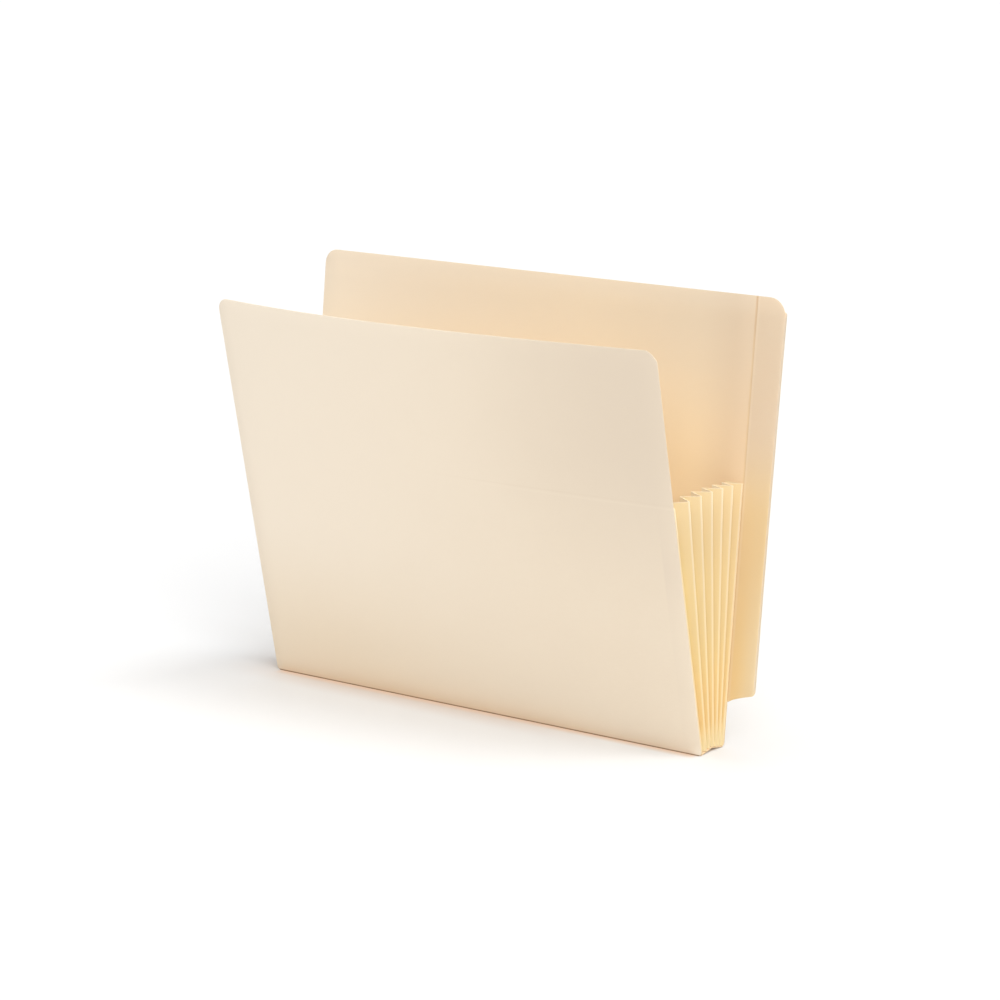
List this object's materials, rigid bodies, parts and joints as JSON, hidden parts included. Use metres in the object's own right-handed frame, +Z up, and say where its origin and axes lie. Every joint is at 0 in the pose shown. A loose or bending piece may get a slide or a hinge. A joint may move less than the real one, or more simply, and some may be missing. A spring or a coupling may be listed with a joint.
{
  "type": "file pocket",
  "caption": "Manila end tab expanding file pocket for letter size papers, with pleated gussets at both ends and a narrow creased base, standing open in a V.",
  "frame": {"origin": "On the floor, at the middle of the part's bounding box. The base lies a little in front of it.", "axes": "+X runs along the pocket from its plain edge to its end tab, +Y from the front cover to the back cover, +Z up."},
  "size_m": [0.3116, 0.1034, 0.24],
  "materials": {
    "manila_outside": "matt",
    "manila_inside": "matt",
    "tab_manila": "matt",
    "gusset_paper": "matt"
  },
  "bodies": {
    "back_cover": {"back_panel": "manila_inside", "base_rear_strip": "manila_inside", "base_front_strip": "manila_inside", "left_back_flap": "gusset_paper", "right_back_flap": "gusset_paper"},
    "front_cover": {"front_panel": "manila_outside", "front_lining": "gusset_paper", "left_pleat_12": "gusset_paper", "right_pleat_12": "gusset_paper"},
    "tab": {"end_tab": "tab_manila", "tab_reinforcement": "tab_manila"},
    "left_fold_1": {"left_pleat_1": "gusset_paper"},
    "left_fold_2": {"left_pleat_2": "gusset_paper"},
    "left_fold_3": {"left_pleat_3": "gusset_paper"},
    "left_fold_4": {"left_pleat_4": "gusset_paper"},
    "left_fold_5": {"left_pleat_5": "gusset_paper"},
    "left_fold_6": {"left_pleat_6": "gusset_paper"},
    "left_fold_7": {"left_pleat_7": "gusset_paper"},
    "left_fold_8": {"left_pleat_8": "gusset_paper"},
    "left_fold_9": {"left_pleat_9": "gusset_paper"},
    "left_fold_10": {"left_pleat_10": "gusset_paper"},
    "left_fold_11": {"left_pleat_11": "gusset_paper"},
    "right_fold_1": {"right_pleat_1": "gusset_paper"},
    "right_fold_2": {"right_pleat_2": "gusset_paper"},
    "right_fold_3": {"right_pleat_3": "gusset_paper"},
    "right_fold_4": {"right_pleat_4": "gusset_paper"},
    "right_fold_5": {"right_pleat_5": "gusset_paper"},
    "right_fold_6": {"right_pleat_6": "gusset_paper"},
    "right_fold_7": {"right_pleat_7": "gusset_paper"},
    "right_fold_8": {"right_pleat_8": "gusset_paper"},
    "right_fold_9": {"right_pleat_9": "gusset_paper"},
    "right_fold_10": {"right_pleat_10": "gusset_paper"},
    "right_fold_11": {"right_pleat_11": "gusset_paper"}
  },
  "joints": [
    {"name": "front_cover_opening", "type": "hinge", "parent": "back_cover", "child": "front_cover", "pos_m": [-0.00968, 0.00311, 0], "axis": [1, 0, 0], "range_deg": [-22, 22], "deforming": ["left_pleat_1", "left_pleat_2", "left_pleat_3", "left_pleat_4", "left_pleat_5", "left_pleat_6", "left_pleat_7", "left_pleat_8", "left_pleat_9", "left_pleat_10", "left_pleat_11", "left_pleat_12", "right_pleat_1", "right_pleat_2", "right_pleat_3", "right_pleat_4", "right_pleat_5", "right_pleat_6", "right_pleat_7", "right_pleat_8", "right_pleat_9", "right_pleat_10", "right_pleat_11", "right_pleat_12"]},
    {"name": "tab_fold", "type": "hinge", "parent": "back_cover", "child": "tab", "pos_m": [0.13637, 0.03595, 0.0994], "axis": [0, 0.1097, 0.994], "range_deg": [-50, 50]},
    {"name": "left_fold_1_lean", "type": "hinge", "parent": "back_cover", "child": "left_fold_1", "pos_m": [-0.00968, 0.02254, 0], "axis": [1, 0, 0], "range_deg": [-1.61, 1.61]},
    {"name": "left_fold_2_lean", "type": "hinge", "parent": "back_cover", "child": "left_fold_2", "pos_m": [-0.00968, 0.02107, 0], "axis": [1, 0, 0], "range_deg": [-3.24, 3.24]},
    {"name": "left_fold_3_lean", "type": "hinge", "parent": "back_cover", "child": "left_fold_3", "pos_m": [-0.00968, 0.01959, 0], "axis": [1, 0, 0], "range_deg": [-4.88, 4.88]},
    {"name": "left_fold_4_lean", "type": "hinge", "parent": "back_cover", "child": "left_fold_4", "pos_m": [-0.00968, 0.01808, 0], "axis": [1, 0, 0], "range_deg": [-6.55, 6.55]},
    {"name": "left_fold_5_lean", "type": "hinge", "parent": "back_cover", "child": "left_fold_5", "pos_m": [-0.00968, 0.01655, 0], "axis": [1, 0, 0], "range_deg": [-8.24, 8.24]},
    {"name": "left_fold_6_lean", "type": "hinge", "parent": "back_cover", "child": "left_fold_6", "pos_m": [-0.00968, 0.01499, 0], "axis": [1, 0, 0], "range_deg": [-9.97, 9.97]},
    {"name": "left_fold_7_lean", "type": "hinge", "parent": "back_cover", "child": "left_fold_7", "pos_m": [-0.00968, 0.01339, 0], "axis": [1, 0, 0], "range_deg": [-11.74, 11.74]},
    {"name": "left_fold_8_lean", "type": "hinge", "parent": "back_cover", "child": "left_fold_8", "pos_m": [-0.00968, 0.01175, 0], "axis": [1, 0, 0], "range_deg": [-13.55, 13.55]},
    {"name": "left_fold_9_lean", "type": "hinge", "parent": "back_cover", "child": "left_fold_9", "pos_m": [-0.00968, 0.01006, 0], "axis": [1, 0, 0], "range_deg": [-15.42, 15.42]},
    {"name": "left_fold_10_lean", "type": "hinge", "parent": "back_cover", "child": "left_fold_10", "pos_m": [-0.00968, 0.00829, 0], "axis": [1, 0, 0], "range_deg": [-17.38, 17.38]},
    {"name": "left_fold_11_lean", "type": "hinge", "parent": "back_cover", "child": "left_fold_11", "pos_m": [-0.00968, 0.0064, 0], "axis": [1, 0, 0], "range_deg": [-19.48, 19.48]},
    {"name": "right_fold_1_lean", "type": "hinge", "parent": "back_cover", "child": "right_fold_1", "pos_m": [-0.00968, 0.02254, 0], "axis": [1, 0, 0], "range_deg": [-1.61, 1.61]},
    {"name": "right_fold_2_lean", "type": "hinge", "parent": "back_cover", "child": "right_fold_2", "pos_m": [-0.00968, 0.02107, 0], "axis": [1, 0, 0], "range_deg": [-3.24, 3.24]},
    {"name": "right_fold_3_lean", "type": "hinge", "parent": "back_cover", "child": "right_fold_3", "pos_m": [-0.00968, 0.01959, 0], "axis": [1, 0, 0], "range_deg": [-4.88, 4.88]},
    {"name": "right_fold_4_lean", "type": "hinge", "parent": "back_cover", "child": "right_fold_4", "pos_m": [-0.00968, 0.01808, 0], "axis": [1, 0, 0], "range_deg": [-6.55, 6.55]},
    {"name": "right_fold_5_lean", "type": "hinge", "parent": "back_cover", "child": "right_fold_5", "pos_m": [-0.00968, 0.01655, 0], "axis": [1, 0, 0], "range_deg": [-8.24, 8.24]},
    {"name": "right_fold_6_lean", "type": "hinge", "parent": "back_cover", "child": "right_fold_6", "pos_m": [-0.00968, 0.01499, 0], "axis": [1, 0, 0], "range_deg": [-9.97, 9.97]},
    {"name": "right_fold_7_lean", "type": "hinge", "parent": "back_cover", "child": "right_fold_7", "pos_m": [-0.00968, 0.01339, 0], "axis": [1, 0, 0], "range_deg": [-11.74, 11.74]},
    {"name": "right_fold_8_lean", "type": "hinge", "parent": "back_cover", "child": "right_fold_8", "pos_m": [-0.00968, 0.01175, 0], "axis": [1, 0, 0], "range_deg": [-13.55, 13.55]},
    {"name": "right_fold_9_lean", "type": "hinge", "parent": "back_cover", "child": "right_fold_9", "pos_m": [-0.00968, 0.01006, 0], "axis": [1, 0, 0], "range_deg": [-15.42, 15.42]},
    {"name": "right_fold_10_lean", "type": "hinge", "parent": "back_cover", "child": "right_fold_10", "pos_m": [-0.00968, 0.00829, 0], "axis": [1, 0, 0], "range_deg": [-17.38, 17.38]},
    {"name": "right_fold_11_lean", "type": "hinge", "parent": "back_cover", "child": "right_fold_11", "pos_m": [-0.00968, 0.0064, 0], "axis": [1, 0, 0], "range_deg": [-19.48, 19.48]}
  ],
  "couplings": [
    {"joint": "left_fold_1_lean", "follows": "front_cover_opening", "ratio": 0.072906},
    {"joint": "left_fold_2_lean", "follows": "front_cover_opening", "ratio": 0.14668},
    {"joint": "left_fold_3_lean", "follows": "front_cover_opening", "ratio": 0.22142},
    {"joint": "left_fold_4_lean", "follows": "front_cover_opening", "ratio": 0.29725},
    {"joint": "left_fold_5_lean", "follows": "front_cover_opening", "ratio": 0.37433},
    {"joint": "left_fold_6_lean", "follows": "front_cover_opening", "ratio": 0.45285},
    {"joint": "left_fold_7_lean", "follows": "front_cover_opening", "ratio": 0.53311},
    {"joint": "left_fold_8_lean", "follows": "front_cover_opening", "ratio": 0.61549},
    {"joint": "left_fold_9_lean", "follows": "front_cover_opening", "ratio": 0.70063},
    {"joint": "left_fold_10_lean", "follows": "front_cover_opening", "ratio": 0.78962},
    {"joint": "left_fold_11_lean", "follows": "front_cover_opening", "ratio": 0.88489},
    {"joint": "right_fold_1_lean", "follows": "front_cover_opening", "ratio": 0.072906},
    {"joint": "right_fold_2_lean", "follows": "front_cover_opening", "ratio": 0.14668},
    {"joint": "right_fold_3_lean", "follows": "front_cover_opening", "ratio": 0.22142},
    {"joint": "right_fold_4_lean", "follows": "front_cover_opening", "ratio": 0.29725},
    {"joint": "right_fold_5_lean", "follows": "front_cover_opening", "ratio": 0.37433},
    {"joint": "right_fold_6_lean", "follows": "front_cover_opening", "ratio": 0.45285},
    {"joint": "right_fold_7_lean", "follows": "front_cover_opening", "ratio": 0.53311},
    {"joint": "right_fold_8_lean", "follows": "front_cover_opening", "ratio": 0.61549},
    {"joint": "right_fold_9_lean", "follows": "front_cover_opening", "ratio": 0.70063},
    {"joint": "right_fold_10_lean", "follows": "front_cover_opening", "ratio": 0.78962},
    {"joint": "right_fold_11_lean", "follows": "front_cover_opening", "ratio": 0.88489}
  ]
}
